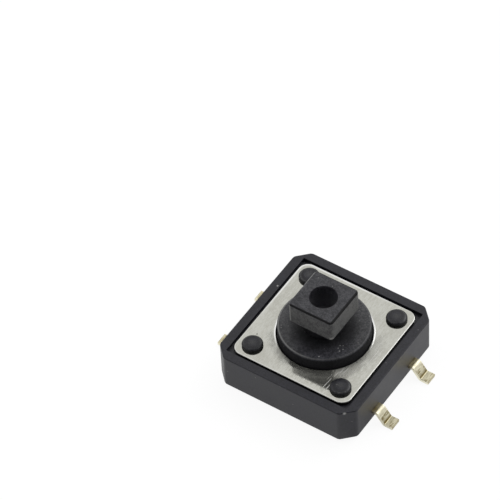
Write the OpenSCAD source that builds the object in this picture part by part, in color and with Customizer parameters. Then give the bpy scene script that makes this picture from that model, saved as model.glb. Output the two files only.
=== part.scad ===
// Tactile push button switch, 12 mm square, surface mount, with a square keyed head.
// Heights are measured from the board that the soldered feet stand on.
// +X points to one pair of leads, +Z up out of the board.

/* [Base moulding] */
// Width of the square base
body_w = 12; // [11.6:0.1:13]
// Height of the rim above the board
rim_top = 3.3; // [3.2:0.05:3.8]
// Gap between the board and the underside of the base
standoff = 0.3; // [0.1:0.05:0.4]
// Cut across each upright corner, along the side
corner_cut = 1.0; // [0.5:0.1:1.3]
// Radius of the outer top edge of the rim
rim_edge_r = 0.08; // [0.05:0.01:0.2]
// Gap between the cover plate and the rim around it
rim_gap = 0.2; // [0.1:0.05:0.25]
// Radius of the mould pin holes in the underside
pin_hole_r = 0.5; // [0.3:0.05:0.6]
// Distance of the outer pin holes from the middle, along the leads
pin_hole_x = 4; // [3.5:0.1:4.4]

/* [Staked posts] */
// Distance between the posts, centre to centre
post_pitch = 7.7; // [7.5:0.05:7.9]
// Radius of a post in the plate
post_r = 0.6; // [0.4:0.05:0.65]
// Clearance around a post in the plate
post_gap = 0.05; // [0.02:0.01:0.08]
// Radius of the melted head
stake_r = 0.82; // [0.76:0.02:0.92]
// Height of the melted head above the plate
stake_h = 0.38; // [0.2:0.02:0.44]
// Radius of the rounding round the melted head
stake_edge_r = 0.12; // [0.05:0.01:0.12]
// Height of the crown on the melted head
stake_crown = 0.1; // [0.04:0.01:0.12]

/* [Cover plate] */
// Width of the square plate
cover_w = 10.1; // [9.9:0.05:10.3]
// Thickness of the sheet
cover_t = 0.3; // [0.2:0.05:0.4]
// Radius of the plate's corners
cover_corner_r = 0.8; // [0.5:0.1:1.2]
// Clearance around the plunger in the plate's hole
plunger_gap = 0.1; // [0.06:0.01:0.15]

/* [Plunger] */
// Height of the head above the board
head_top = 7.3; // [6.8:0.1:9]
// Width of the square head
head_w = 3.8; // [3.6:0.05:4.2]
// Height of the square head
head_h = 1.9; // [1.6:0.1:2.2]
// Radius of the head's upright edges
head_corner_r = 0.2; // [0.05:0.01:0.3]
// Radius of the head's top edges
head_edge_r = 0.15; // [0.05:0.01:0.2]
// Radius of the round neck under the head
neck_r = 1.5; // [1.3:0.05:1.7]
// Radius of the hole in the head
hole_r = 1.05; // [0.8:0.05:1.15]
// Depth of the hole in the head
hole_depth = 2.2; // [1.5:0.1:2.6]
// Radius of the round collar
collar_r = 3.52; // [3.4:0.02:3.6]
// Height of the collar's top above the board
collar_top = 4.3; // [4.1:0.05:4.6]
// Radius of the collar's top edge
collar_edge_r = 0.18; // [0.05:0.01:0.3]
// Thickness of the keeper that stays under the plate
keeper_t = 0.7; // [0.5:0.05:0.75]
// Radius of the keeper's round parts
keeper_r = 4.25; // [4.15:0.05:4.35]
// Distance across the keeper's flats
keeper_w = 8; // [7.8:0.05:8.2]
// Clearance around the keeper in its pocket
keeper_gap = 0.1; // [0.05:0.01:0.12]
// Radius of the nub that pushes the dome
nub_r = 1; // [0.8:0.1:1.4]
// Travel of the plunger
travel = 0.3; // [0.2:0.05:0.35]
// Room left under the keeper at full travel
spare_travel = 0.2; // [0.1:0.05:0.25]

/* [Snap dome] */
// Radius of the dome
dome_r = 3.3; // [3.1:0.05:3.5]
// Thickness of the dome's sheet
dome_t = 0.1; // [0.08:0.01:0.12]
// Clearance around the dome in its well
dome_gap = 0.1; // [0.05:0.01:0.15]

/* [Terminals] */
// Distance between the two leads on a side, centre to centre
lead_pitch = 5; // [4.6:0.1:5.2]
// Width of a lead
lead_w = 1; // [0.8:0.05:1.2]
// Thickness of the terminals' sheet
lead_t = 0.25; // [0.2:0.01:0.28]
// Length of the flat foot that is soldered
foot_len = 0.585; // [0.4:0.005:1.2]
// Height of the leads' upper face where they leave the wall
lead_exit = 1.1; // [1.05:0.05:1.2]
// Length of lead that stands straight out of the wall
lead_stub = 0.25; // [0.1:0.05:0.4]
// Slope of the lead's leg
leg_angle = 53; // [48:1:70]
// Inside radius of the lead's bends
bend_r = 0.1; // [0.06:0.01:0.16]
// Width of the terminal strip inside the base
strip_w = 1.4; // [1.3:0.05:1.6]
// Plastic between the end of the strip's wide part and the wall's face
strip_cover = 1; // [0.8:0.1:1.4]
// Radius of the raised pads that touch the dome's edge
pad_r = 0.5; // [0.4:0.05:0.6]
// Width of the arm to the middle contact
arm_w = 1.2; // [1:0.1:1.4]
// Radius of the middle contact
contact_r = 0.9; // [0.8:0.05:1.2]
// Height of the well's floor above the strips
pad_rise = 0.1; // [0.05:0.01:0.12]
// Height of the middle contact above the well's floor
contact_rise = 0.1; // [0.06:0.01:0.12]

/* [Hidden] */
$fn = 40;

// Heights that follow from the stack, from the board upwards
strip_z = lead_exit - lead_t;
floor_z = lead_exit + pad_rise;
contact_z = floor_z + contact_rise;
dome_rise = contact_rise + travel + dome_t;
dome_top = floor_z + dome_rise;
cover_z = rim_top - cover_t;
keeper_z = cover_z - keeper_t;
pocket_z = keeper_z - travel - spare_travel;
head_z = head_top - head_h;

// Plan sizes that follow from the pieces that seat there
recess_w = cover_w + 2 * rim_gap;
cover_hole_r = collar_r + plunger_gap;
well_r = dome_r + dome_gap;
lead_y = lead_pitch / 2;
pad_x = sqrt(dome_r * dome_r - lead_y * lead_y);
diagonal_w = (body_w - corner_cut) * sqrt(2);
post_at = [for (x = [-1, 1], y = [-1, 1]) [x, y] * post_pitch / 2];
pin_hole_at = concat([[0, 0]], [for (x = [-1, 1], y = [-1, 1]) [x * pin_hole_x, y * lead_y]]);

// The lead's leg drops from the strip to the feet, bend by bend
mid_r = bend_r + lead_t / 2;
leg_drop = strip_z - 2 * mid_r * (1 - cos(leg_angle));
leg_len = leg_drop / sin(leg_angle);
leg_run = 2 * mid_r * sin(leg_angle) + leg_len * cos(leg_angle);
stub_end = body_w / 2 + lead_stub;
tip = stub_end + leg_run + foot_len;
strip_len = body_w - 2 * strip_cover;

// Room for cuts that pass through an open face, and overlap of shapes that run into each other
over = 1;
lap = 0.25;

// Points of an arc about a centre, between two directions
function arc(centre, r, from, to, steps = 8) =
    [for (i = [0:steps]) let (a = from + (to - from) * i / steps) centre + r * [cos(a), sin(a)]];

// Outline of a block with round top edges, seen from the side
module arch(w, h, r) {
    translate([-w / 2, 0]) square([w, h - r]);
    translate([r - w / 2, 0]) square([w - 2 * r, h]);
    for (side = [-1, 1]) translate([side * (w / 2 - r), h - r]) circle(r);
}

// The same outline as a bar that runs right across at the given turn
module arch_bar(w, h, r, turn) {
    rotate([90, 0, turn]) linear_extrude(height = 2 * body_w, center = true) arch(w, h, r);
}

// Half of an arch turned about Z into a round button, with a shallow crown on top if it has one
module button(r, h, edge_r, crown = 0) {
    flat_r = r - edge_r;
    rotate_extrude() intersection() {
        union() {
            arch(2 * r, h - crown, edge_r);
            if (crown > 0) crown_cap(flat_r, h, crown);
        }
        square([r, h]);
    }
}

// The slice of a large circle that makes the crown
module crown_cap(flat_r, h, crown) {
    crown_r = (flat_r * flat_r + crown * crown) / (2 * crown);
    intersection() {
        translate([0, h - crown_r]) circle(crown_r, $fn = 96);
        translate([-flat_r, h - 2 * crown]) square([2 * flat_r, 2 * crown]);
    }
}

// Square with round corners
module round_square(w, r) {
    square([w, w - 2 * r], center = true);
    square([w - 2 * r, w], center = true);
    for (x = [-1, 1], y = [-1, 1]) translate([x, y] * (w / 2 - r)) circle(r);
}

// Outline of the keeper and its pocket: a disc with four flats that stop it turning
module flatted_disc(r, w) {
    intersection() {
        circle(r);
        square(w, center = true);
    }
}

// A post that passes the plate and spreads into a crowned head on top of it
module staked_post() {
    translate([0, 0, cover_z - lap]) cylinder(r = post_r, h = lap + cover_t + stake_h / 2);
    translate([0, 0, rim_top]) button(stake_r, stake_h, stake_edge_r, stake_crown);
}

// The block with cut corners and a round top edge, before anything is cut out of it
module base_shell() {
    height = rim_top - standoff;
    translate([0, 0, standoff]) intersection() {
        arch_bar(body_w, height, rim_edge_r, 0);
        arch_bar(body_w, height, rim_edge_r, 90);
        arch_bar(diagonal_w, height, rim_edge_r, 45);
        arch_bar(diagonal_w, height, rim_edge_r, -45);
    }
}

// Everything inside the base that is open: the plate's recess, the keeper's pocket and the dome's well
module base_hollow() {
    translate([0, 0, cover_z]) linear_extrude(cover_t + over) square(recess_w, center = true);
    translate([0, 0, pocket_z]) linear_extrude(cover_z - pocket_z + lap)
        flatted_disc(keeper_r + keeper_gap, keeper_w + 2 * keeper_gap);
    translate([0, 0, floor_z]) cylinder(r = well_r, h = pocket_z - floor_z + lap);
    for (at = pin_hole_at) translate([at.x, at.y, standoff - over])
        cylinder(r = pin_hole_r, h = strip_z - standoff + over);
}

module base() {
    color([0.20, 0.20, 0.21]) union() {
        difference() {
            base_shell();
            base_hollow();
            common_metal();
            centre_metal();
        }
        for (at = post_at) translate(at) staked_post();
    }
}

module cover_plate() {
    color([0.74, 0.74, 0.71]) translate([0, 0, cover_z]) linear_extrude(cover_t) difference() {
        round_square(cover_w, cover_corner_r);
        circle(cover_hole_r);
        for (at = post_at) translate(at) circle(post_r + post_gap);
    }
}

// Square head with round top edges and softened upright edges
module plunger_head() {
    intersection() {
        arch_bar(head_w, head_h, head_edge_r, 0);
        arch_bar(head_w, head_h, head_edge_r, 90);
        linear_extrude(head_h) round_square(head_w, head_corner_r);
    }
}

module plunger() {
    color([0.16, 0.16, 0.17]) difference() {
        union() {
            translate([0, 0, dome_top]) cylinder(r = nub_r, h = keeper_z - dome_top + lap);
            translate([0, 0, keeper_z]) linear_extrude(keeper_t) flatted_disc(keeper_r, keeper_w);
            translate([0, 0, keeper_z]) button(collar_r, collar_top - keeper_z, collar_edge_r);
            translate([0, 0, keeper_z]) cylinder(r = neck_r, h = head_z - keeper_z + lap);
            translate([0, 0, head_z]) plunger_head();
        }
        translate([0, 0, head_top - hole_depth]) cylinder(r = hole_r, h = hole_depth + over);
    }
}

// Shallow round dome that stands on the well's floor and carries the nub
module snap_dome() {
    outer_r = (dome_r * dome_r + dome_rise * dome_rise) / (2 * dome_rise);
    color([0.80, 0.80, 0.78]) translate([0, 0, dome_top - outer_r]) rotate_extrude() intersection() {
        difference() {
            circle(outer_r, $fn = 144);
            circle(outer_r - dome_t, $fn = 144);
        }
        translate([0, outer_r - dome_rise]) square([dome_r, dome_rise]);
    }
}

// One gull-wing lead along +X, from inside the wall down to its foot on the board
module lead() {
    shoulder = [stub_end, strip_z - bend_r];
    heel = [stub_end + leg_run, lead_t + bend_r];
    root = strip_len / 2 - lap;
    rotate([90, 0, 0]) linear_extrude(lead_w, center = true) polygon(concat(
        [[root, strip_z], [root, lead_exit]],
        arc(shoulder, bend_r + lead_t, 90, 90 - leg_angle),
        arc(heel, bend_r, -90 - leg_angle, -90),
        [[tip, lead_t], [tip, 0]],
        arc(heel, bend_r + lead_t, -90, -90 - leg_angle),
        arc(shoulder, bend_r, 90 - leg_angle, 90)
    ));
}

// Strip across the base with a lead at each end, on the given side
module terminal_strip(side) {
    translate([0, side * lead_y, 0]) {
        translate([-strip_len / 2, -strip_w / 2, strip_z]) cube([strip_len, strip_w, lead_t]);
        lead();
        mirror([1, 0, 0]) lead();
    }
}

// Strip with two pads that stay under the dome's edge
module common_metal() {
    terminal_strip(1);
    for (x = [-pad_x, pad_x]) translate([x, lead_y, strip_z]) cylinder(r = pad_r, h = floor_z - strip_z);
}

// Strip with an arm to the contact under the dome's middle
module centre_metal() {
    terminal_strip(-1);
    translate([-arm_w / 2, -lead_y, strip_z]) cube([arm_w, lead_y, lead_t]);
    translate([0, 0, strip_z]) cylinder(r = contact_r, h = contact_z - strip_z);
}

module terminal_common() {
    color([0.80, 0.77, 0.62]) common_metal();
}

module terminal_centre() {
    color([0.80, 0.77, 0.62]) centre_metal();
}

base();
cover_plate();
plunger();
snap_dome();
terminal_common();
terminal_centre();
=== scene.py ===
# Square push button switch for a circuit board: the looks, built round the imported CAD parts.
# Sizes in the dictionaries are millimetres, counted from the board that the feet stand on.
import math

import bmesh
import bpy
from mathutils import Matrix, Vector


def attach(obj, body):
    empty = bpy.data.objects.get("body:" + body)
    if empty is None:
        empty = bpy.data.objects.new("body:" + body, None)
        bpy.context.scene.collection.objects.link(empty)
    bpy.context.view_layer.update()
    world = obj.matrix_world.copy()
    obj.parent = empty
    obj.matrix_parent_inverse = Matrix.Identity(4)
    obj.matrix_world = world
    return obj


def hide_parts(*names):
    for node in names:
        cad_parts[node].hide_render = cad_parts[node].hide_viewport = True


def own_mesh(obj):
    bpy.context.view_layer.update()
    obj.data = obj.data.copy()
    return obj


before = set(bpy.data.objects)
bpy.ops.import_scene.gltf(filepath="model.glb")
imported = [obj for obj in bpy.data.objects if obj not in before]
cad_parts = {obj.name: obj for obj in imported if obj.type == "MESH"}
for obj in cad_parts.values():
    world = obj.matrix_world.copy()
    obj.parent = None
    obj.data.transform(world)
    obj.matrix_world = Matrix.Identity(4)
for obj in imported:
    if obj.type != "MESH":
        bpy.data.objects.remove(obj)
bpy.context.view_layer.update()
mm = 0.001
print("frame loaded:", ", ".join(sorted(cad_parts)))


# node trees written as sums
class Expr:
    # an output socket: maths on it adds Math nodes to its tree
    def __init__(self, graph, socket):
        self.graph, self.socket = graph, socket

    def __add__(self, other):
        return self.graph.measure("ADD", self, other)

    def __sub__(self, other):
        return self.graph.measure("SUBTRACT", self, other)

    def __rsub__(self, other):
        return self.graph.measure("SUBTRACT", other, self)

    def __mul__(self, other):
        return self.graph.measure("MULTIPLY", self, other)

    def __truediv__(self, other):
        return self.graph.measure("DIVIDE", self, other)

    def __pow__(self, other):
        return self.graph.measure("POWER", self, other)

    def __abs__(self):
        return self.graph.measure("ABSOLUTE", self)

    __radd__ = __add__
    __rmul__ = __mul__


class Graph:
    # the one way that nodes are added: settings first, then values or links
    def __init__(self, tree):
        self.tree = tree
        tree.nodes.clear()

    def add(self, kind, settings=None, sockets=(), out=0):
        node = self.tree.nodes.new(kind)
        for name, value in (settings or {}).items():
            if name == "items":  # how many an index switch has
                while len(node.index_switch_items) < value:
                    node.index_switch_items.new()
            else:
                setattr(node, name, value)
        for key, value in (sockets.items() if isinstance(sockets, dict) else enumerate(sockets)):
            if isinstance(value, Expr):
                self.tree.links.new(value.socket, node.inputs[key])
            elif value is not None:
                node.inputs[key].default_value = value
        return Expr(self, node.outputs[out] if len(node.outputs) else None)

    def output(self, expr, name):
        # another output of the node that an expression comes from
        return Expr(self, expr.socket.node.outputs[name])

    def blendColours(self, factor, first, second):
        # plain colours are given as three numbers
        first, second = ((*tone, 1) if isinstance(tone, tuple) else tone for tone in (first, second))
        return self.add("ShaderNodeMix", {"data_type": "RGBA"}, {0: factor, 6: first, 7: second}, out=2)

    def measure(self, operation, *terms):
        return self.add("ShaderNodeMath", {"operation": operation}, terms)

    def most(self, first, second):
        return self.measure("MAXIMUM", first, second)

    def least(self, first, second):
        return self.measure("MINIMUM", first, second)

    def length(self, across, along):
        return self.measure("SQRT", across * across + along * along)

    def ease(self, value, low, high):
        # 0 up to low and 1 from high on, rising softly between them
        settings = {"interpolation_type": "SMOOTHSTEP"}
        return self.add("ShaderNodeMapRange", settings, (value, low, high, 0.0, 1.0))

    def fall(self, value, low, high):
        # 1 up to low and 0 from high on, falling softly between them
        return 1 - self.ease(value, low, high)

    def bump(self, value, middle, width):
        # 1 at the middle, falling softly to 0 at width from it
        return self.fall(abs(value - middle), 0.0, width)

    def noise(self, place, scale, detail=2.0, roughness=0.5):
        sockets = {"Vector": place, "Scale": scale, "Detail": detail, "Roughness": roughness}
        return self.add("ShaderNodeTexNoise", None, sockets)

    def millimetres(self, stretch=(1, 1, 1), turn=0.0):
        # Object coordinates in millimetres, stretched along the turned axes
        place = self.add("ShaderNodeTexCoord", None, out=3)
        sockets = {"Vector": place, "Scale": tuple(s / mm for s in stretch), "Rotation": (0, 0, turn)}
        return self.add("ShaderNodeMapping", None, sockets)

    def axis(self, place, letter):
        return self.add("ShaderNodeSeparateXYZ", None, (place,), out="XYZ".index(letter))

    def distance(self, place, point):
        return self.add("ShaderNodeVectorMath", {"operation": "DISTANCE"}, (place, point), out=1)

    def along(self, place, direction):
        # how far a place or direction reaches along a fixed one
        return self.add("ShaderNodeVectorMath", {"operation": "DOT_PRODUCT"}, (place, direction), out=1)

    def towards(self, place, turn):
        # the same for a level direction, turned from X towards Y
        return self.along(place, (math.cos(turn), math.sin(turn), 0))

    def sector(self, place, around, turn, full, gone):
        # seen from the middle: 1 within an angle of a direction, 0 beyond a wider one
        return self.ease(self.towards(place, turn) / around, math.cos(gone), math.cos(full))


def total(values, shares):
    # a weighted sum
    return sum(value * share for value, share in zip(values, shares))


def newMaterial(name):
    material = bpy.data.materials.new(name)
    material.use_nodes = True
    return material, Graph(material.node_tree)


def finishMaterial(graph, sockets, height, depth):
    # height is in units of depth, which is in millimetres
    bumpSockets = {"Strength": 1.0, "Distance": depth * mm, "Height": height}
    sockets["Normal"] = graph.add("ShaderNodeBump", None, bumpSockets)
    shader = graph.add("ShaderNodeBsdfPrincipled", None, sockets)
    graph.add("ShaderNodeOutputMaterial", None, {"Surface": shader})


# finishes: noises are scale, detail and roughness, pairs are where a mask begins and is full,
# shares follow the order of the values that they weigh, and angles are radians from X;
# where a piece's own size is needed, it comes from the piece's dictionary
plasticGrain = {
    "cloud": (4.0, 0.6), "grain": (5.5, 3.0, 0.7), "fine": (12.0, 2.0, 0.6), "mixed": (0.42, 0.6),
    "mixShares": (0.25, 0.45, 0.3), "speck": (0.08, 0.2), "speckAndHighlightColour": (0.5, 0.5, 0.48),
    "roughShares": (0.22, 0.16), "reliefShares": (0.55, 0.45, 0.4), "dustAndGlintCore": 0.4,
    "dustAndGlintColour": (0.6, 0.6, 0.58),
}
# dust specks and painted glints are x, y, z, radius and lightness
housingFinish = {
    "low": (0.0045, 0.0045, 0.0095), "high": (0.0175, 0.0175, 0.027), "roughness": 0.42, "grain": 0.004,
    "cloudSize": 1.1, "speckSize": 0.36, "speckShare": 0.1, "speckLight": 0.22, "index": 1.5,
    # the housing's first spot is a painted glint on the front corner's top edge
    "dustAndGlints": ((5.42, -5.74, 3.28, 0.22, 0.9), (-5.42, 1.91, 3.3, 0.1, 0.6), (-4.35, -4.02, 3.55, 0.1, 0.4),
             (-4.28, -4.22, 3.5, 0.08, 0.3)),
    # post heads: painted light in the middle and on a ridge, painted shade in a ring and at the rolled-over
    # rim
    "posts": {
        "reach": (0.9, 1.0), "core": (0.05, 0.4), "coreLight": 0.22, "ridge": 0.67, "ridgeWidth": 0.07,
        "ridgeLight": 0.6, "groove": 0.5, "grooveWidth": 0.16, "rolled": (0.69, 0.8), "patches": (0.44, 0.58),
        "flecks": (0.48, 0.6), "fleckLight": 0.14, "shadeShare": 0.9,
        "paintedPostLight": (0.11, 0.11, 0.1), "paintedShade": (0.001, 0.001, 0.001), "roughShares": (0.25, 0.1),
    },
}
plungerFinish = {
    "low": (0.023, 0.023, 0.028), "high": (0.07, 0.07, 0.081), "roughness": 0.42, "grain": 0.008,
    "cloudSize": 0.7, "speckSize": 0.26, "speckShare": 0.13, "speckLight": 0.6, "index": 1.36,
    "dustAndGlints": ((2.11, -1.17, 4.3, 0.08, 0.5), (2.31, -1.05, 4.3, 0.07, 0.35), (2.13, -1.45, 4.3, 0.07, 0.5),
             (2.36, -1.63, 4.3, 0.08, 0.5), (2.5, -1.37, 4.3, 0.07, 0.45), (1.36, -2.86, 4.28, 0.08, 0.6),
             (-2.48, -2.01, 4.3, 0.06, 0.4), (-2.14, -1.6, 4.3, 0.06, 0.3), (2.44, 2.34, 4.3, 0.07, 0.35)),
    # plunger: painted shade on the head's top edges, under the head and on the collar's side; painted light
    # on the sides, collar and hole; painted highlights on edges
    "zones": {
        "paintedTopLight": 0.2, "paintedSideLight": 1.0, "paintedCollarLight": 0.4, "paintedLight": (0.155, 0.155, 0.152),
        "paintedHoleLight": (0.22, 0.22, 0.24), "paintedShade": (0.0015, 0.0015, 0.002), "collarShade": 0.7,
        "sheltered": (1.8, 3.1), "shelterShare": 0.8, "sideways": (0.81, 0.59, 0), "paler": (1.4, 2.9),
        "rimFaces": (-0.9, -0.44, 0), "rimLight": (0.08, 0.36), "leftEdge": -0.75 * math.pi,
        "frontEdge": -0.25 * math.pi, "highlightShares": (0.3, 0.6, 0.6), "roughShares": (0.12, 0.2, 0.45, -0.2),
    },
}
# scratches are x, y, length, lean and lightness; burrs, with the painted highlights on them, are an angle and
# the two half widths of a sector; dulled patches have these too, and the width of the band and their share
coverFinish = {
    "colour": (0.59, 0.59, 0.54), "stained": (0.50, 0.495, 0.445), "scratchAndHighlight": (0.92, 0.92, 0.9),
    "paintedGapShade": (0.01, 0.01, 0.01), "metal": 0.95, "roughness": 0.075, "brushing": 0.0004,
    "brushed": (9, 3, 1), "streaked": (3.2, 0.22, 1), "cloud": (0.8, 4.0, 0.6),
    "stainShares": (0.35, 0.15, 0.5), "stains": (0.4, 0.6), "burrsAndHighlights": ((0.79, 0.42, 0.75), (3.5, 0.25, 0.62)),
    "dulled": ((-0.17, 0.53, 0.74, 1.3, 1.0), (4.1, 0.3, 0.5, 0.9, 1.0), (-1.3, 0.4, 0.75, 1.1, 0.3)),
    "scratches": (
        (2.75, -3.93, 1.2, 0.087, 0.8), (3.02, -3.99, 1.15, 0.07, 0.8), (3.05, -2.45, 0.6, 0.1, 0.8),
        (4.32, -0.2, 2.1, 0.02, 0.3), (4.55, 0.3, 1.6, 0.03, 0.22), (4.1, 0.9, 1.2, 0.0, 0.18),
        (2.6, -3.4, 0.8, 0.1, 0.4), (2.9, -2.9, 0.7, 0.1, 0.5), (3.3, -2.3, 0.8, 0.12, 0.5)),
    "scratchWidth": 0.055, "hairlines": (3.4, 0.5, 1), "hairlineLean": 0.06, "hairlineWidth": 0.012,
    "far": (-0.59, 0.81, 0), "farFrom": (1.5, 4.5), "edgeLight": 0.35, "farLight": 0.65,
    "fleck": (-4.15, -2.79, 3.3), "fleckColour": (0.08, 0.08, 0.07), "metalLost": (0.3, 0.6),
    "roughShares": (0.3, 0.4, 0.1, 0.05, 0.1, 0.36), "reliefShares": (0.7, 0.3, -0.8),
}
# wall to tip are distances from the middle along the lead, and side is one from the middle of its width
platingFinish = {
    "colour": (0.88, 0.83, 0.61), "lit": (1.0, 0.96, 0.76), "bareAndShaded": (0.26, 0.2, 0.075), "roughness": 0.37,
    "wall": (6.02, 6.38), "scribe": 6.2, "shoulder": 6.52, "slope": 6.78, "heel": 7.015, "foot": 7.45,
    "tip": (7.63, 7.68), "side": (0.455, 0.49), "cloud": (2.2, 3.0, 0.6), "drawn": (8, 1.6, 8),
    "marks": (0.46, 0.58), "toolMarks": 0.7, "slopeShares": (0.95, 0.85),
    "bareAndShadeShares": (0.7, 0.4, 0.95, 0.5), "roughShares": (0.16, 0.1, 0.16), "relief": 0.003,
}
springFinish = {
    "colour": (0.66, 0.66, 0.64), "shade": 0.9, "roughness": 0.22, "uneven": 0.08, "relief": 0.001,
}


def mouldedPlastic(name, finish):
    # black moulded plastic: cloudy, finely grained, with a little dust caught in the grain, a few painted
    # glints, and painted light and shade on the post heads and the plunger
    material, graph = newMaterial(name)
    look = plasticGrain
    place = graph.millimetres()
    cloud = graph.noise(place, 1 / finish["cloudSize"], *look["cloud"])
    grain = graph.noise(place, *look["grain"])
    fine = graph.noise(place, *look["fine"])
    dotSockets = {"Vector": place, "Scale": 1 / finish["speckSize"]}
    dots = graph.add("ShaderNodeTexVoronoi", {"feature": "F1"}, dotSockets)
    rare = graph.add("ShaderNodeSeparateColor", None, (graph.output(dots, "Color"),))
    common = 1 - finish["speckShare"]
    speck = graph.fall(dots, *look["speck"]) * graph.ease(rare, common, common + 0.02)
    mix = graph.ease(total((cloud, grain, fine), look["mixShares"]), *look["mixed"])
    colour = graph.blendColours(mix, finish["low"], finish["high"])
    colour = graph.blendColours(speck * finish["speckLight"], colour, look["speckAndHighlightColour"])
    rough = finish["roughness"] + total((grain - 0.5, cloud - 0.5), look["roughShares"])
    # dust specks and painted glints, each a soft pale spot
    dustAndGlints = sum(graph.fall(graph.distance(place, (x, y, z)), size * look["dustAndGlintCore"], size) * light
               for x, y, z, size, light in finish["dustAndGlints"])
    colour = graph.blendColours(graph.least(dustAndGlints, 1.0), colour, look["dustAndGlintColour"])
    if "posts" in finish:
        posts = finish["posts"]
        paintedPostLight, paintedShade, onHead = postZones(graph, place, posts, cloud, grain, fine)
        # painted light and painted shade on the post heads
        colour = graph.blendColours(paintedPostLight, colour, posts["paintedPostLight"])
        colour = graph.blendColours(paintedShade, colour, posts["paintedShade"])
        rough = rough + total((paintedShade, (mix - 0.5) * onHead), posts["roughShares"])
    if "zones" in finish:
        zones = finish["zones"]
        paintedShade, collarSide, paintedLight, depth, paintedHighlights = plungerZones(graph, place, zones)
        # painted light, painted highlights and painted shade on the plunger, and a paler painted hole
        colour = graph.blendColours(paintedLight * (0.45 + 0.7 * mix), colour, zones["paintedLight"])
        colour = graph.blendColours(paintedHighlights, colour, look["speckAndHighlightColour"])
        darkened = graph.most(paintedShade, collarSide * zones["collarShade"])
        colour = graph.blendColours(darkened, colour, zones["paintedShade"])
        colour = graph.blendColours(depth, colour, zones["paintedHoleLight"])
        rough = rough + total((paintedLight, paintedShade, collarSide, paintedHighlights), zones["roughShares"])
    sockets = {"Base Color": colour, "Roughness": rough, "IOR": finish["index"]}
    finishMaterial(graph, sockets, total((grain, fine, speck), look["reliefShares"]), finish["grain"])
    return material


def postZones(graph, place, posts, cloud, grain, fine):
    # painted light and shade on the melted post heads: a painted lighter middle and a pale highlight ridge, a
    # painted dark ring between them, and painted shade where they roll over onto the plate
    offX, offY = (abs(graph.axis(place, letter)) - stakes["pitch"] / 2 for letter in "XY")
    off = graph.length(offX, offY)
    onHead = graph.ease(graph.axis(place, "Z"), cover["top"], cover["top"] + 0.02)
    onHead = onHead * graph.fall(off, *posts["reach"])
    patchy = graph.ease(cloud * 0.5 + grain * 0.5, *posts["patches"])
    flecked = graph.ease(fine * 0.6 + grain * 0.4, *posts["flecks"])
    paintedPostLight = graph.bump(off, posts["ridge"], posts["ridgeWidth"]) * patchy * posts["ridgeLight"]
    paintedPostLight = paintedPostLight + graph.fall(off, *posts["core"]) * posts["coreLight"] + flecked * posts["fleckLight"]
    groove = graph.bump(off, posts["groove"], posts["grooveWidth"]) * (0.3 + 0.5 * patchy)
    paintedShade = graph.most(groove, graph.ease(off, *posts["rolled"])) * posts["shadeShare"]
    return paintedPostLight * onHead, paintedShade * onHead, onHead


def plungerZones(graph, place, zones):
    # masks for painted light and shade: painted shade on the top edges, round the neck under the head and on
    # the collar's side, painted light on the sides, the collar and in the hole, and painted highlights on
    # edges; the small numbers are how far from an edge a mask fades
    x, y, z = (graph.axis(place, letter) for letter in "XYZ")
    radius = graph.length(x, y)
    half, bottom, top = plunger["headHalf"], plunger["headBottom"], plunger["headTop"]
    hole, floor = plunger["holeRadius"], plunger["holeBottom"]
    collar, collarTop = plunger["collarRadius"], plunger["collarTop"]

    reach = graph.most(x, abs(y) - 0.05)
    # painted shade: a dark line along the head's top edges, and the collar and neck darkened round and under
    # the head
    edges = graph.ease(reach, half - 0.19, half - 0.11) * graph.ease(z, top - 0.2, top - 0.1)
    sheltered = graph.fall(radius, *zones["sheltered"]) * graph.fall(z, bottom - 0.05, bottom)
    paintedShade = graph.most(edges, sheltered * zones["shelterShare"])
    # painted shade on the collar's side below its rim
    belowRim = graph.fall(z, collarTop - 0.16, collarTop - 0.06)
    collarSide = graph.ease(radius, collar - 0.12, collar - 0.05) * belowRim

    # painted light: a grey sheen, most on the head's sides and on its right face, and on the collar's left
    # and right
    sides = graph.ease(z, bottom, bottom + 0.1)
    topShare = graph.ease(z, top - 0.12, top - 0.02)
    inside = graph.fall(radius, hole + 0.01, hole + 0.04)
    paintedLight = sides * (1 - inside) * (zones["paintedSideLight"] + (zones["paintedTopLight"] - zones["paintedSideLight"]) * topShare)
    paintedLight = paintedLight * (0.85 + 0.3 * graph.ease(x, half - 0.06, half - 0.01))
    onCollar = graph.ease(z, collarTop - 0.04, collarTop) * graph.fall(z, collarTop + 0.05, collarTop + 0.1)
    sideways = graph.ease(abs(graph.along(place, zones["sideways"])), *zones["paler"])
    paintedLight = paintedLight + onCollar * sideways * zones["paintedCollarLight"]
    # painted light: the hole's wall and floor are painted paler
    depth = inside * graph.ease(z, floor - 0.2, floor - 0.05) * graph.fall(z, floor + 0.1, top - 0.3)

    # painted highlights on the left upright edge, the foot of the front one, one top edge and the collar's
    # rim
    diagonal = half * math.sqrt(2)
    left, front = (graph.ease(graph.towards(place, zones[turn]), diagonal - 0.2, diagonal - 0.13)
                   for turn in ("leftEdge", "frontEdge"))
    foot = sides * graph.fall(z, bottom + 0.12, bottom + 0.35)
    topEdge = graph.bump(x, 0.06 - half, 0.05) * graph.ease(z, top - 0.1, top - 0.04)
    paintedHighlights = total((left * sides * (1 - topShare), front * foot, topEdge * graph.ease(y, -half, half)),
                   zones["highlightShares"])
    rim = graph.bump(radius, collar - 0.1, 0.085) * graph.ease(z, collarTop - 0.12, collarTop - 0.05)
    light, more = zones["rimLight"]
    facing = graph.ease(graph.along(place, zones["rimFaces"]) / collar, -0.2, 0.95)
    return paintedShade, collarSide, paintedLight, depth, paintedHighlights + rim * (light + more * facing)


def scratchMarks(graph, place, finish):
    # bright lines, each fading out at its ends
    marks = 0.0
    for x, y, length, lean, light in finish["scratches"]:
        across = graph.towards(place, -lean) - (x * math.cos(lean) - y * math.sin(lean))
        along = graph.towards(place, math.pi / 2 - lean) - (x * math.sin(lean) + y * math.cos(lean))
        run = graph.fall(abs(along), length * 0.3, length * 0.5)
        marks = marks + graph.bump(across, 0.0, finish["scratchWidth"]) * run * light
    return marks


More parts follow.
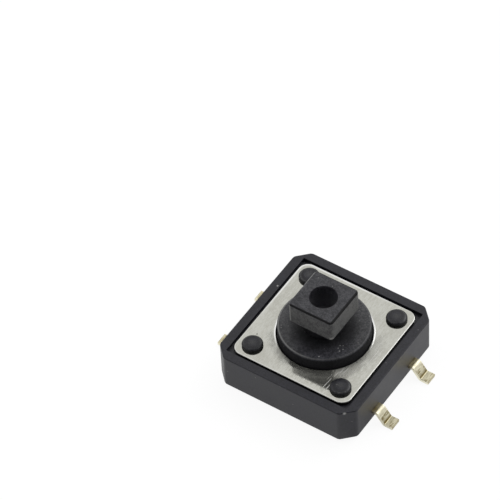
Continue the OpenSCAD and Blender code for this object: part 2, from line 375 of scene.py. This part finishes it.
def satinSteel(name, finish):
    # rolled sheet, brushed along Y, lightly stained and scratched, with matt patches round the hole, painted
    # highlights on the hole's edge and the rolled outer edge, and painted shade on its sides and round the
    # hole
    material, graph = newMaterial(name)
    place = graph.millimetres()
    x, y, z = (graph.axis(place, letter) for letter in "XYZ")
    around = graph.length(x, y)
    hole, corner, top = cover["holeRadius"], cover["cornerRadius"], cover["top"]
    brushed = graph.noise(graph.millimetres(finish["brushed"]), 1.0, 3.0, 0.75)
    streaks = graph.noise(graph.millimetres(finish["streaked"]), 1.0)
    cloud = graph.noise(place, *finish["cloud"])
    stain = graph.ease(total((cloud, streaks, brushed), finish["stainShares"]), *finish["stains"])
    colour = graph.blendColours(stain, finish["colour"], finish["stained"])

    # hairlines that only show in the gloss
    field = graph.noise(graph.millimetres(finish["hairlines"], finish["hairlineLean"]), 1.0, 1.0, 0.4)
    faint = graph.bump(field, 0.5, finish["hairlineWidth"])
    faint = faint * graph.ease(graph.noise(place, 0.7, 1.0), 0.55, 0.66)

    # scratches are bright; the hole's edge at the burrs and the rolled outer edge get painted highlights, the
    # edge most where it is far
    marks = scratchMarks(graph, place, finish)
    holeHighlight = graph.fall(around, hole + 0.1, hole + 0.18)
    bright = sum(graph.sector(place, around, *sector) for sector in finish["burrsAndHighlights"])
    core = cover["width"] / 2 - corner
    reach = graph.length(graph.most(abs(x) - core, 0.0), graph.most(abs(y) - core, 0.0))
    far = graph.ease(graph.along(place, finish["far"]), *finish["farFrom"])
    edge = graph.ease(reach, corner - 0.12, corner - 0.06) * finish["edgeLight"]
    edge = edge + graph.ease(reach, corner - 0.22, corner - 0.12) * far * finish["farLight"]
    colour = graph.blendColours(graph.least(marks + holeHighlight * bright + edge, 1.0), colour, finish["scratchAndHighlight"])
    fleck = graph.fall(graph.distance(place, finish["fleck"]), 0.03, 0.09)
    colour = graph.blendColours(fleck * 0.8, colour, finish["fleckColour"])

    # painted shade: the sides and the hole's edge away from the painted highlights are painted nearly black,
    # for the dark gaps round the plate and the collar
    below = graph.fall(z, top - 0.07, top - 0.03)
    inner = graph.fall(around, hole + 0.02, hole + 0.07) * (1 - bright)
    paintedGapShade = graph.most(below, inner)
    colour = graph.blendColours(paintedGapShade * 0.97, colour, finish["paintedGapShade"])

    # matt patches, each a sector of a band round the hole, and none on the painted highlights
    dull = 0.0
    for turn, full, gone, width, share in finish["dulled"]:
        band = graph.fall(around, hole + width * 0.35, hole + width)
        dull = dull + graph.sector(place, around, turn, full, gone) * band * share
    dull = graph.least(dull, 1.0) * (0.6 + 0.4 * stain) * (1 - graph.least(holeHighlight * bright, 1.0))
    parts = (dull, paintedGapShade, brushed - 0.5, stain - 0.5, faint, marks)
    rough = finish["roughness"] + total(parts, finish["roughShares"])
    metal = finish["metal"] * (1 - total((paintedGapShade, dull), finish["metalLost"]))
    relief = total((brushed, streaks, faint), finish["reliefShares"])
    sockets = {"Base Color": colour, "Roughness": rough, "Metallic": metal}
    finishMaterial(graph, sockets, relief, finish["brushing"])
    return material


def warmPlating(name, finish):
    # thin silver plating on brass, with tool marks across the lead where it slopes and on the foot; painted
    # brown shade at the wall and in the heel's crease, brown at a scribed line and at the tip, a painted
    # highlight at the shoulder, and bright on the sheared sides
    material, graph = newMaterial(name)
    place = graph.millimetres()
    reach = abs(graph.axis(place, "X"))
    cloud = graph.noise(place, *finish["cloud"])
    drawn = graph.noise(graph.millimetres(finish["drawn"]), 1.0, 3.0, 0.6)
    # painted shade at the wall and in the heel's crease, and a painted highlight at the shoulder
    wall = graph.fall(reach, *finish["wall"])
    scribe = graph.bump(reach, finish["scribe"], 0.05)
    shoulder = graph.bump(reach, finish["shoulder"], 0.3)
    heel = graph.bump(reach, finish["heel"], 0.12)
    tip = graph.ease(reach, *finish["tip"])
    side = graph.ease(abs(abs(graph.axis(place, "Y")) - leads["row"]), *finish["side"])
    slopes = (graph.bump(reach, finish["slope"], 0.2), graph.bump(reach, finish["foot"], 0.24))
    worn = graph.ease(cloud * 0.4 + drawn * 0.6, *finish["marks"]) * finish["toolMarks"]
    worn = worn * (0.35 + total(slopes, finish["slopeShares"]))
    bareAndShaded = graph.least(worn + total((wall, scribe, heel, tip), finish["bareAndShadeShares"]), 1.0)
    bareAndShaded = bareAndShaded * (1 - 0.9 * side * (1 - wall))
    colour = graph.blendColours(graph.most(shoulder, side), finish["colour"], finish["lit"])
    colour = graph.blendColours(bareAndShaded, colour, finish["bareAndShaded"])
    rough = finish["roughness"] + total((cloud - 0.5, drawn - 0.5, shoulder), finish["roughShares"])
    sockets = {"Base Color": colour, "Roughness": rough, "Metallic": 1.0}
    finishMaterial(graph, sockets, drawn * 0.7 + cloud * 0.3, finish["relief"])
    return material


def springSteel(name, finish):
    # bright strip, shaded a little along its rolling direction
    material, graph = newMaterial(name)
    rolled = graph.noise(graph.millimetres((6, 0.3, 1)), 1.0)
    shaded = tuple(tone * finish["shade"] for tone in finish["colour"])
    colour = graph.blendColours(rolled, finish["colour"], shaded)
    rough = finish["roughness"] + finish["uneven"] * (rolled - 0.5)
    sockets = {"Base Color": colour, "Roughness": rough, "Metallic": 1.0}
    finishMaterial(graph, sockets, rolled, finish["relief"])
    return material


# sewing shells from loops of points
def ring(radius, z, count=96, centre=(0, 0)):
    turns = (2 * math.pi * i / count for i in range(count))
    return [(centre[0] + radius * math.cos(t), centre[1] + radius * math.sin(t), z) for t in turns]


def square(half):
    return [(half, -half), (half, half), (-half, half), (-half, -half)]


def roundOutline(corners, cornerRadius, inset, z, steps=4):
    # a convex outline, drawn inwards by inset, with its corners rounded; corners run anticlockwise
    count, points = len(corners), []
    normals = []
    for i, (x, y) in enumerate(corners):
        nextX, nextY = corners[(i + 1) % count]
        length = math.hypot(nextX - x, nextY - y)
        normals.append(((nextY - y) / length, (x - nextX) / length))
    for i, corner in enumerate(corners):
        (ax, ay), (bx, by) = normals[i - 1], normals[i]
        scale = cornerRadius / (1 + ax * bx + ay * by)
        centre = (corner[0] - (ax + bx) * scale, corner[1] - (ay + by) * scale)
        start = math.atan2(ay, ax)
        sweep = math.atan2(ax * by - ay * bx, ax * bx + ay * by)
        for step in range(steps + 1):
            turn = start + sweep * step / steps
            radius = cornerRadius - inset
            points.append((centre[0] + radius * math.cos(turn), centre[1] + radius * math.sin(turn), z))
    return points


def flattedDisc(radius, half, z, steps=12):
    # a disc with four flats
    cut, points = math.acos(half / radius), []
    for quarter in range(4):
        for step in range(steps + 1):
            turn = quarter * math.pi / 2 + cut + (math.pi / 2 - 2 * cut) * step / steps
            points.append((radius * math.cos(turn), radius * math.sin(turn), z))
    return points


def edgeArc(radius, top, steps=5):
    # (inset, height) pairs of a rounded top edge, from the wall to the top
    turns = (math.pi / 2 * i / steps for i in range(steps + 1))
    return [(radius * (1 - math.cos(t)), top - radius * (1 - math.sin(t))) for t in turns]


def footArc(radius, bottom, steps=3):
    # the same for a rounded lower edge, from the underside to the wall
    return [(inset, 2 * bottom - z) for inset, z in reversed(edgeArc(radius, bottom, steps))]


def mouthArc(radius, top, steps=3):
    # the same for the mouth of a hollow, from the top to the wall, with the inset turned outwards
    return [(-inset, z) for inset, z in reversed(edgeArc(radius, top, steps))]


class Shell:
    def __init__(self):
        self.bm = bmesh.new()

    def loop(self, points):
        return [self.bm.verts.new(p) for p in points]

    def wall(self, *loops):
        for low, high in zip(loops, loops[1:]):
            for i in range(len(low)):
                j = (i + 1) % len(low)
                self.bm.faces.new((low[i], low[j], high[j], high[i]))
        return loops[-1]

    def cap(self, loop):
        self.bm.faces.new(loop)

    def solid(self, *loops):
        # a wall that is closed at both ends
        self.wall(*loops)
        self.cap(loops[0])
        self.cap(loops[-1])

    def fill(self, *loops):
        # a flat face between an outer loop and the loops inside it
        edges = []
        for loop in loops:
            for a, b in zip(loop, loop[1:] + loop[:1]):
                edges.append(self.bm.edges.get((a, b)) or self.bm.edges.new((a, b)))
        bmesh.ops.triangle_fill(self.bm, use_beauty=True, use_dissolve=False, edges=edges)

    def bar(self, low, high, edge=0.03):
        # a plain sheet-metal block with softened upright edges
        half = [(high[0] - low[0]) / 2, (high[1] - low[1]) / 2]
        middle = [(high[0] + low[0]) / 2, (high[1] + low[1]) / 2]
        corners = [(middle[0] + sx * half[0], middle[1] + sy * half[1]) for sx, sy in square(1)]
        self.solid(*(self.loop(roundOutline(corners, edge, 0, z, 2)) for z in (low[2], high[2])))

    def disc(self, radius, low, high, centre):
        self.solid(*(self.loop(ring(radius, z, 32, centre)) for z in (low, high)))

    def finish(self, name, material, sharp=40):
        bmesh.ops.recalc_face_normals(self.bm, faces=self.bm.faces)
        mesh = bpy.data.meshes.new(name)
        self.bm.to_mesh(mesh)
        self.bm.free()
        piece = bpy.data.objects.new(name, mesh)
        bpy.context.scene.collection.objects.link(piece)
        mesh.materials.append(material)
        return smoothed(piece, sharp)


def plainMesh(piece):
    # the evaluated shape becomes the piece's own mesh, and its modifiers go
    bpy.context.view_layer.update()
    evaluated = piece.evaluated_get(bpy.context.evaluated_depsgraph_get())
    mesh = bpy.data.meshes.new_from_object(evaluated)
    used = [material for material in mesh.materials if material]
    if len(used) < len(mesh.materials):
        mesh.materials.clear()
        mesh.materials.append(used[0])
    piece.modifiers.clear()
    piece.data = mesh
    mesh.name = piece.name
    return piece


def smoothed(piece, sharp=40):
    # soft shading that keeps flat faces flat
    mesh = piece.data
    mesh.shade_smooth()
    mesh.set_sharp_from_angle(angle=math.radians(sharp))
    weighted = piece.modifiers.new("evenShading", "WEIGHTED_NORMAL")
    weighted.mode, weighted.weight, weighted.keep_sharp = "FACE_AREA", 80, True
    plainMesh(piece)
    piece.data.transform(Matrix.Scale(mm, 4))
    return piece


# base: one black moulding with a recess for the plate, a keeper pocket and a dome well
base = {
    "width": 12.0, "cornerCut": 1.0, "bottom": 0.3, "top": 3.3, "cornerRadius": 0.45, "topEdge": 0.07,
    "bottomEdge": 0.06, "recess": 10.5, "recessFloor": 3.0, "recessEdge": 0.03, "recessCorner": 0.05,
    "pocketRadius": 4.35, "pocketHalf": 4.1, "pocketFloor": 1.8, "wellRadius": 3.4, "wellFloor": 1.2,
    "pinRadius": 0.5, "pinTop": 0.95, "pinPlaces": ((0, 0), (4, 2.5), (4, -2.5), (-4, 2.5), (-4, -2.5)),
}


def buildBase():
    half, cut = base["width"] / 2, base["width"] / 2 - base["cornerCut"]
    corners = [(half, -cut), (half, cut), (cut, half), (-cut, half), (-half, cut), (-half, -cut),
               (-cut, -half), (cut, -half)]
    shell = Shell()
    sections = footArc(base["bottomEdge"], base["bottom"]) + edgeArc(base["topEdge"], base["top"])
    outside = [shell.loop(roundOutline(corners, base["cornerRadius"], i, z)) for i, z in sections]
    shell.wall(*outside)
    recess = square(base["recess"] / 2)
    sections = mouthArc(base["recessEdge"], base["top"]) + [(0.0, base["recessFloor"])]
    lip = [shell.loop(roundOutline(recess, base["recessCorner"], i, z, 2)) for i, z in sections]
    shell.fill(outside[-1], lip[0])
    shell.wall(*lip)
    pocket = [shell.loop(flattedDisc(base["pocketRadius"], base["pocketHalf"], z))
              for z in (base["recessFloor"], base["pocketFloor"])]
    shell.fill(lip[-1], pocket[0])
    shell.wall(*pocket)
    well = [shell.loop(ring(base["wellRadius"], z)) for z in (base["pocketFloor"], base["wellFloor"])]
    shell.fill(pocket[1], well[0])
    shell.cap(shell.wall(*well))
    pins = []
    for place in base["pinPlaces"]:
        hole = [shell.loop(ring(base["pinRadius"], z, 32, place)) for z in (base["bottom"], base["pinTop"])]
        shell.cap(shell.wall(*hole))
        pins.append(hole[0])
    shell.fill(outside[0], *pins)
    return shell.finish("baseMoulding", housingPlastic)


# cover plate: stamped sheet, rolled over at its outer edge, with a fine burr round the large hole
cover = {
    "width": 10.1, "bottom": 3.0, "top": 3.3, "cornerRadius": 0.8, "edge": 0.06, "holeRadius": 3.62,
    "holeEdge": 0.13, "lip": 0.03, "postPitch": 7.7, "postHole": 0.65,
}


def burrShare(x, y):
    # the burr stands at two sides of the hole and fades out between them
    shares = []
    for turn, full, gone in coverFinish["burrsAndHighlights"]:
        turned = math.cos(math.atan2(y, x) - turn)
        share = min(max((turned - math.cos(gone)) / (math.cos(full) - math.cos(gone)), 0.0), 1.0)
        shares.append(share * share * (3 - 2 * share))
    return max(shares)


def buildCover():
    shell = Shell()
    outline = square(cover["width"] / 2)
    sections = [(0.0, cover["bottom"])] + edgeArc(cover["edge"], cover["top"], 4)
    outside = [shell.loop(roundOutline(outline, cover["cornerRadius"], i, z, 10)) for i, z in sections]
    shell.wall(*outside)
    crest = cover["top"] + cover["lip"]
    sections = [(0.0, cover["bottom"])] + edgeArc(cover["lip"], crest, 3)
    sections += [(cover["holeEdge"] - i, z) for i, z in reversed(edgeArc(cover["lip"], crest, 3))]
    hole = [shell.loop([(x, y, min(z, cover["top"]) + max(z - cover["top"], 0.0) * burrShare(x, y))
                        for x, y, z in ring(cover["holeRadius"] + i, z, 128)]) for i, z in sections]
    shell.wall(*hole)
    lowHoles, highHoles = [hole[0]], [hole[-1]]
    reach = cover["postPitch"] / 2
    for place in square(reach):
        post = [shell.loop(ring(cover["postHole"], z, 32, place)) for z in (cover["bottom"], cover["top"])]
        shell.wall(*post)
        lowHoles.append(post[0])
        highHoles.append(post[1])
    shell.fill(outside[0], *lowHoles)
    shell.fill(outside[-1], *highHoles)
    return shell.finish("coverPlate", coverSteel, 50)


# plunger: nub, keeper, collar, neck and the square head with its hole
plunger = {
    "nubRadius": 1.0, "nubBottom": 1.7, "keeperRadius": 4.25, "keeperHalf": 4.0, "keeperBottom": 2.3,
    "keeperTop": 3.0, "collarRadius": 3.52, "collarTop": 4.3, "collarEdge": 0.18, "neckRadius": 1.5,
    "neckFillet": 0.06, "headBottom": 5.4, "headTop": 7.3, "headHalf": 1.9, "headCorner": 0.3,
    "headEdge": 0.13, "underEdge": 0.05, "holeRadius": 1.05, "holeBottom": 5.1, "holeEdge": 0.05,
}


def buildPlunger():
    size = plunger
    shell = Shell()
    nub = [shell.loop(ring(size["nubRadius"], z, 48)) for z in (size["nubBottom"], size["keeperBottom"])]
    shell.cap(nub[0])
    shell.wall(*nub)
    keeper = [shell.loop(flattedDisc(size["keeperRadius"], size["keeperHalf"], z))
              for z in (size["keeperBottom"], size["keeperTop"])]
    shell.fill(nub[1], keeper[0])
    shell.wall(*keeper)
    sections = [(0.0, size["keeperTop"])] + edgeArc(size["collarEdge"], size["collarTop"], 6)
    collar = [shell.loop(ring(size["collarRadius"] - i, z, 128)) for i, z in sections]
    shell.fill(keeper[1], collar[0])
    shell.wall(*collar)
    sections = footArc(size["neckFillet"], size["collarTop"])
    neck = [shell.loop(ring(size["neckRadius"] + size["neckFillet"] - i, z, 64)) for i, z in sections]
    neck.append(shell.loop(ring(size["neckRadius"], size["headBottom"], 64)))
    shell.fill(collar[-1], neck[0])
    shell.wall(*neck)
    outline = square(size["headHalf"])
    sections = footArc(size["underEdge"], size["headBottom"]) + edgeArc(size["headEdge"], size["headTop"])
    head = [shell.loop(roundOutline(outline, size["headCorner"], i, z, 5)) for i, z in sections]
    shell.fill(neck[-1], head[0])
    shell.wall(*head)
    sections = mouthArc(size["holeEdge"], size["headTop"]) + [(0.0, size["holeBottom"])]
    hole = [shell.loop(ring(size["holeRadius"] - i, z, 64)) for i, z in sections]
    shell.fill(head[-1], hole[0])
    shell.cap(shell.wall(*hole))
    return shell.finish("plungerMoulding", plungerPlastic)


# snap dome: thin round shell of spring steel
dome = {"radius": 3.3, "bottom": 1.2, "top": 1.7, "thickness": 0.1, "rings": 12}


def buildDome():
    rise = dome["top"] - dome["bottom"]
    outer = (dome["radius"] ** 2 + rise ** 2) / (2 * rise)
    centre = dome["top"] - outer
    inner = outer - dome["thickness"]
    innerEdge = math.sqrt(inner ** 2 - (dome["bottom"] - centre) ** 2)
    shell = Shell()
    loops = []
    for sphere, edge, order in ((inner, innerEdge, range(1, dome["rings"] + 1)),
                                (outer, dome["radius"], range(dome["rings"], 0, -1))):
        for step in order:
            radius = edge * step / dome["rings"]
            loops.append(shell.loop(ring(radius, centre + math.sqrt(sphere ** 2 - radius ** 2), 64)))
    shell.solid(*loops)
    return shell.finish("snapDome", domeSteel, 50)


# Geometry Nodes: a tree with named inputs, run once and turned into a plain mesh
def newTree(name, inputs):
    tree = bpy.data.node_groups.new(name, "GeometryNodeTree")
    tree.interface.new_socket("Geometry", in_out="OUTPUT", socket_type="NodeSocketGeometry")
    graph = Graph(tree)
    for label, kind in inputs:
        tree.interface.new_socket(label, in_out="INPUT", socket_type="NodeSocket" + kind)
    first = graph.add("NodeGroupInput")
    return tree, graph, {label: graph.output(first, label) for label, kind in inputs}


def runTree(name, tree, values):
    mesh = bpy.data.meshes.new(name)
    piece = bpy.data.objects.new(name, mesh)
    bpy.context.scene.collection.objects.link(piece)
    modifier = piece.modifiers.new(name, "NODES")
    modifier.node_group = tree
    for item in tree.interface.items_tree:
        if item.in_out == "INPUT" and item.name in values:
            modifier[item.identifier] = values[item.name]
    return plainMesh(piece)


# melted heads of the four posts
stakes = {
    "pitch": 7.7, "radius": 0.82, "height": 0.3686, "squareness": 0.6, "foot": 0.1, "wobble": 0.048,
    "dent": 1.3, "turned": 6.28, "seed": 7, "segments": 64, "rings": 40,
}


def buildStakes():
    tree, graph, value = newTree("meltedHeads", (
        ("Pitch", "Float"), ("Radius", "Float"), ("Height", "Float"), ("Squareness", "Float"),
        ("Foot", "Float"), ("Top", "Float"), ("Wobble", "Float"), ("Seed", "Int"), ("Material", "Material")))
    ball = graph.add("GeometryNodeMeshUVSphere", None, {
        "Segments": stakes["segments"], "Rings": stakes["rings"], "Radius": 1.0})
    place = graph.add("GeometryNodeInputPosition")
    x, y, z = (graph.axis(place, letter) for letter in "XYZ")
    across = graph.most(graph.length(x, y), 1e-5)  # never zero, for the power below
    spread = value["Radius"] * across ** (value["Squareness"] - 1)
    rise = value["Height"] * graph.most(z, 0.0) ** value["Squareness"]
    # the head curls under where it meets the plate
    curl = 1 - value["Foot"] * graph.fall(rise, 0.0, value["Height"] * 0.45)
    shaped = graph.add("ShaderNodeCombineXYZ", None, (x * spread * curl, y * spread * curl, rise))
    head = graph.add("GeometryNodeSetPosition", None, {"Geometry": ball, "Position": shaped})
    grid = graph.add("GeometryNodeMeshGrid", None, {
        "Size X": value["Pitch"], "Size Y": value["Pitch"], "Vertices X": 2, "Vertices Y": 2})
    turn = graph.add("FunctionNodeRandomValue", {"data_type": "FLOAT"}, {
        "Min": 0.0, "Max": stakes["turned"], "Seed": value["Seed"]}, out=1)
    heads = graph.add("GeometryNodeInstanceOnPoints", None, {
        "Points": grid, "Instance": head,
        "Rotation": graph.add("ShaderNodeCombineXYZ", None, (0.0, 0.0, turn))})
    real = graph.add("GeometryNodeRealizeInstances", None, (heads,))
    merged = graph.add("GeometryNodeMergeByDistance", None, {"Geometry": real, "Distance": 0.0005})
    # each is dented a little, most at its top
    dent = graph.noise(graph.add("GeometryNodeInputPosition"), stakes["dent"])
    settled = graph.axis(graph.add("GeometryNodeInputPosition"), "Z") / value["Height"]
    lift = (dent - 0.5) * value["Wobble"] * settled
    offset = graph.add("ShaderNodeCombineXYZ", None, (0.0, 0.0, lift))
    melted = graph.add("GeometryNodeSetPosition", None, {"Geometry": merged, "Offset": offset})
    seated = graph.add("GeometryNodeTransform", None, {
        "Geometry": melted, "Translation": graph.add("ShaderNodeCombineXYZ", None, (0.0, 0.0, value["Top"]))})
    finished = graph.add("GeometryNodeSetMaterial", None, {"Geometry": seated, "Material": value["Material"]})
    graph.add("NodeGroupOutput", None, (finished,))
    piece = runTree("postHeads", tree, {
        "Pitch": stakes["pitch"], "Radius": stakes["radius"], "Height": stakes["height"],
        "Squareness": stakes["squareness"], "Foot": stakes["foot"], "Top": cover["top"],
        "Wobble": stakes["wobble"], "Seed": stakes["seed"], "Material": housingPlastic})
    return smoothed(piece)


# terminals: a strip inside the base with a gull-wing lead at each end
leads = {
    "row": 2.5, "width": 1.0, "sheet": 0.25, "exitMiddle": 0.975, "shoulder": 6.3622, "heel": 7.0027,
    "tip": 7.6998, "root": 4.75, "bend": 0.225, "edge": 0.035,
}
strip = {"half": 5.0, "width": 1.4, "bottom": 0.85, "top": 1.1, "padPlace": 2.154, "padRadius": 0.5,
         "padTop": 1.2, "armWidth": 1.2, "contactRadius": 0.9, "contactTop": 1.3}


def leadTree():
    tree, graph, value = newTree("gullWingLeads", (
        ("Row", "Float"), ("Width", "Float"), ("Sheet", "Float"), ("Exit Height", "Float"),
        ("Root", "Float"), ("Shoulder", "Float"), ("Heel", "Float"), ("Tip", "Float"),
        ("Bend Radius", "Float"), ("Edge Radius", "Float"), ("Material", "Material")))
    line = graph.add("GeometryNodeMeshLine", None, {"Count": 4})
    foot = value["Sheet"] * 0.5
    stops = ((value["Root"], value["Exit Height"]), (value["Shoulder"], value["Exit Height"]),
             (value["Heel"], foot), (value["Tip"], foot))
    corners = [graph.add("ShaderNodeCombineXYZ", None, (x, 0.0, z)) for x, z in stops]
    chosen = graph.add("GeometryNodeIndexSwitch", {"data_type": "VECTOR", "items": 4},
                       [graph.add("GeometryNodeInputIndex")] + corners)
    placed = graph.add("GeometryNodeSetPosition", None, {"Geometry": line, "Position": chosen})
    path = graph.add("GeometryNodeMeshToCurve", None, (placed,))
    bent = graph.add("GeometryNodeFilletCurve", {"mode": "POLY"}, {
        "Curve": path, "Radius": value["Bend Radius"], "Count": 9})
    upright = graph.add("GeometryNodeSetCurveNormal", {"mode": "Z_UP"}, (bent,))
    outline = graph.add("GeometryNodeCurvePrimitiveQuadrilateral", {"mode": "RECTANGLE"}, {
        "Width": value["Width"], "Height": value["Sheet"]})
    soft = graph.add("GeometryNodeFilletCurve", {"mode": "POLY"}, {
        "Curve": outline, "Radius": value["Edge Radius"], "Count": 3})
    sheet = graph.add("GeometryNodeCurveToMesh", None, {
        "Curve": upright, "Profile Curve": soft, "Fill Caps": True})
    ends = graph.add("GeometryNodeMeshLine", None, {"Count": 2})
    endTurn = graph.add("GeometryNodeInputIndex") * math.pi
    across = graph.add("ShaderNodeCombineXYZ", None, (0.0, value["Row"], 0.0))
    points = graph.add("GeometryNodeSetPosition", None, {"Geometry": ends, "Position": across})
    pair = graph.add("GeometryNodeInstanceOnPoints", None, {
        "Points": points, "Instance": sheet,
        "Rotation": graph.add("ShaderNodeCombineXYZ", None, (0.0, 0.0, endTurn))})
    real = graph.add("GeometryNodeRealizeInstances", None, (pair,))
    finished = graph.add("GeometryNodeSetMaterial", None, {"Geometry": real, "Material": value["Material"]})
    graph.add("NodeGroupOutput", None, (finished,))
    return tree


def buildTerminal(name, side, tree):
    row = side * leads["row"]
    pair = runTree(name + "Leads", tree, {
        "Row": row, "Width": leads["width"], "Sheet": leads["sheet"], "Exit Height": leads["exitMiddle"],
        "Root": leads["root"], "Shoulder": leads["shoulder"], "Heel": leads["heel"], "Tip": leads["tip"],
        "Bend Radius": leads["bend"], "Edge Radius": leads["edge"], "Material": terminalPlating})
    shell = Shell()
    shell.bm.from_mesh(pair.data)
    bpy.data.objects.remove(pair)
    wide, low, high = strip["width"] / 2, strip["bottom"], strip["top"]
    shell.bar((-strip["half"], row - wide, low), (strip["half"], row + wide, high))
    if side > 0:
        for x in (-strip["padPlace"], strip["padPlace"]):
            shell.disc(strip["padRadius"], high, strip["padTop"], (x, row))
    else:
        shell.bar((-strip["armWidth"] / 2, row + wide, low), (strip["armWidth"] / 2, 0, high))
        shell.disc(strip["contactRadius"], low, strip["contactTop"], (0, 0))
    return shell.finish(name, terminalPlating, 50)


# the finishes are made here, because they read the sizes of the pieces above
housingPlastic = mouldedPlastic("housingPlastic", housingFinish)
plungerPlastic = mouldedPlastic("plungerPlastic", plungerFinish)
coverSteel = satinSteel("coverSteel", coverFinish)
terminalPlating = warmPlating("terminalPlating", platingFinish)
domeSteel = springSteel("domeSteel", springFinish)
print("finishes ready")

baseMoulding = buildBase()
coverPlate = buildCover()
plungerMoulding = buildPlunger()
snapDome = buildDome()
postHeads = buildStakes()
gullWings = leadTree()
terminalCommon = buildTerminal("terminalCommon", 1, gullWings)
terminalCentre = buildTerminal("terminalCentre", -1, gullWings)
print("pieces built")

for piece, body, slot, nodes in (
    (baseMoulding, "housing", "housing_plastic", ["base"]),
    (postHeads, "housing", "housing_plastic", []),
    (coverPlate, "housing", "cover_steel", ["cover_plate"]),
    (plungerMoulding, "plunger", "plunger_plastic", ["plunger"]),
    (snapDome, "housing", "dome_steel", ["snap_dome"]),
    (terminalCommon, "housing", "terminal_plating", ["terminal_common"]),
    (terminalCentre, "housing", "terminal_plating", ["terminal_centre"]),
):
    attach(piece, body)
    if nodes:
        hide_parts(*nodes)
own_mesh(snapDome)
print("pieces ride on their bodies")

# camera, at the photograph's angle, which is in degrees; what it clips is in metres
camera = {
    "place": (92.8955, -135.9165, 202.5270), "azimuth": 36.1446, "elevation": 49.0330, "roll": -3.3806,
    "lens": 252.0, "sensor": 36, "clip": (0.01, 20),
}


def buildCamera():
    data = bpy.data.cameras.new("photoCamera")
    data.lens, data.sensor_width = camera["lens"], camera["sensor"]
    data.clip_start, data.clip_end = camera["clip"]
    azimuth, elevation = math.radians(camera["azimuth"]), math.radians(camera["elevation"])
    back = Vector((math.sin(azimuth) * math.cos(elevation), -math.cos(azimuth) * math.cos(elevation),
                   math.sin(elevation)))
    right = Vector((0, 0, 1)).cross(back).normalized()
    up = back.cross(right)
    turn = math.radians(camera["roll"])
    side = math.cos(turn) * right + math.sin(turn) * up
    top = math.cos(turn) * up - math.sin(turn) * right
    matrix = Matrix((side, top, back)).transposed().to_4x4()
    matrix.translation = Vector(camera["place"]) * mm
    item = bpy.data.objects.new("photoCamera", data)
    item.matrix_world = matrix
    bpy.context.scene.collection.objects.link(item)
    bpy.context.scene.camera = item


# white floor, a pale tent and two soft lamps; floorSize and the lamps' places and widths are in metres
studio = {
    "floorSize": 4.0, "shadow": 0.16, "floorWhite": 1.09, "floorGlow": 0.65, "floorFades": (40, 250),
    "dimmed": 0.6, "dimAcross": (5.5, 6.5), "dimAlong": (-6.0, 2.0), "horizon": 0.85, "zenith": 0.95,
    "band": 0.15, "bandFades": (0.06, 0.3), "dark": 0.1, "darkPlace": (0.387, -0.529, 0.755),
    "darkFades": (0.6, 0.88),
    "lamps": (((0.12, 0.35, 0.26), 0.2, 0.3), ((0.207, 0.238, 0.32), 0.16, 0.14)),
}


def buildFloor():
    # the part mirrors the floor near it, and the mirrored floor is dimmed by painted shade beside the part's
    # right side
    mesh = bpy.data.meshes.new("floor")
    mesh.from_pydata([(x, y, 0) for x, y in square(studio["floorSize"] / 2)], [], [(0, 1, 2, 3)])
    floor = bpy.data.objects.new("floor", mesh)
    bpy.context.scene.collection.objects.link(floor)
    material, graph = newMaterial("floorWhite")
    diffuse = graph.add("ShaderNodeBsdfDiffuse", None, {"Color": (0.9, 0.9, 0.9, 1)})
    glow = graph.add("ShaderNodeEmission", None, {"Color": (1, 1, 1, 1), "Strength": studio["floorWhite"]})
    path = graph.add("ShaderNodeLightPath")
    seen = graph.output(path, "Is Camera Ray") * (1 - studio["shadow"])
    place = graph.millimetres()
    x, y = (graph.axis(place, letter) for letter in "XY")
    dim = graph.ease(x, *studio["dimAcross"]) * graph.fall(y, *studio["dimAlong"])
    near = graph.fall(graph.length(x, y), *studio["floorFades"]) * (1 - studio["dimmed"] * dim)
    mirrored = graph.output(path, "Is Glossy Ray") * studio["floorGlow"] * near
    mixed = graph.add("ShaderNodeMixShader", None, {0: seen + mirrored, 1: diffuse, 2: glow})
    graph.add("ShaderNodeOutputMaterial", None, {"Surface": mixed})
    mesh.materials.append(material)


def buildTent():
    # pale, with a dark band at the horizon and dark round the place that the photograph was taken from
    world = bpy.data.worlds.new("paleTent")
    world.use_nodes = True
    bpy.context.scene.world = world
    graph = Graph(world.node_tree)
    direction = graph.add("ShaderNodeTexCoord", None, out=0)
    height = graph.axis(direction, "Z")
    tent = studio["horizon"] + (studio["zenith"] - studio["horizon"]) * graph.ease(height, 0.0, 1.0)
    dark = graph.ease(graph.along(direction, studio["darkPlace"]), *studio["darkFades"])
    low = graph.fall(abs(height), *studio["bandFades"])
    tent = tent * (1 - dark * (1 - studio["dark"])) * (1 - low * (1 - studio["band"]))
    seen = graph.output(graph.add("ShaderNodeLightPath"), "Is Camera Ray")
    level = tent * (1 - seen) + seen
    background = graph.add("ShaderNodeBackground", None, {"Color": (1, 1, 1, 1), "Strength": level})
    graph.add("ShaderNodeOutputWorld", None, {"Surface": background})


def buildLamps():
    for place, width, power in studio["lamps"]:
        lamp = bpy.data.lights.new("softLamp", "AREA")
        lamp.size, lamp.energy = width, power
        item = bpy.data.objects.new("softLamp", lamp)
        aim = Vector(place).to_track_quat("Z", "Y").to_matrix().to_4x4()
        item.matrix_world = Matrix.Translation(place) @ aim
        bpy.context.scene.collection.objects.link(item)


buildCamera()
buildFloor()
buildTent()
buildLamps()
bpy.context.scene.view_settings.view_transform = "Standard"
print("camera and studio ready")
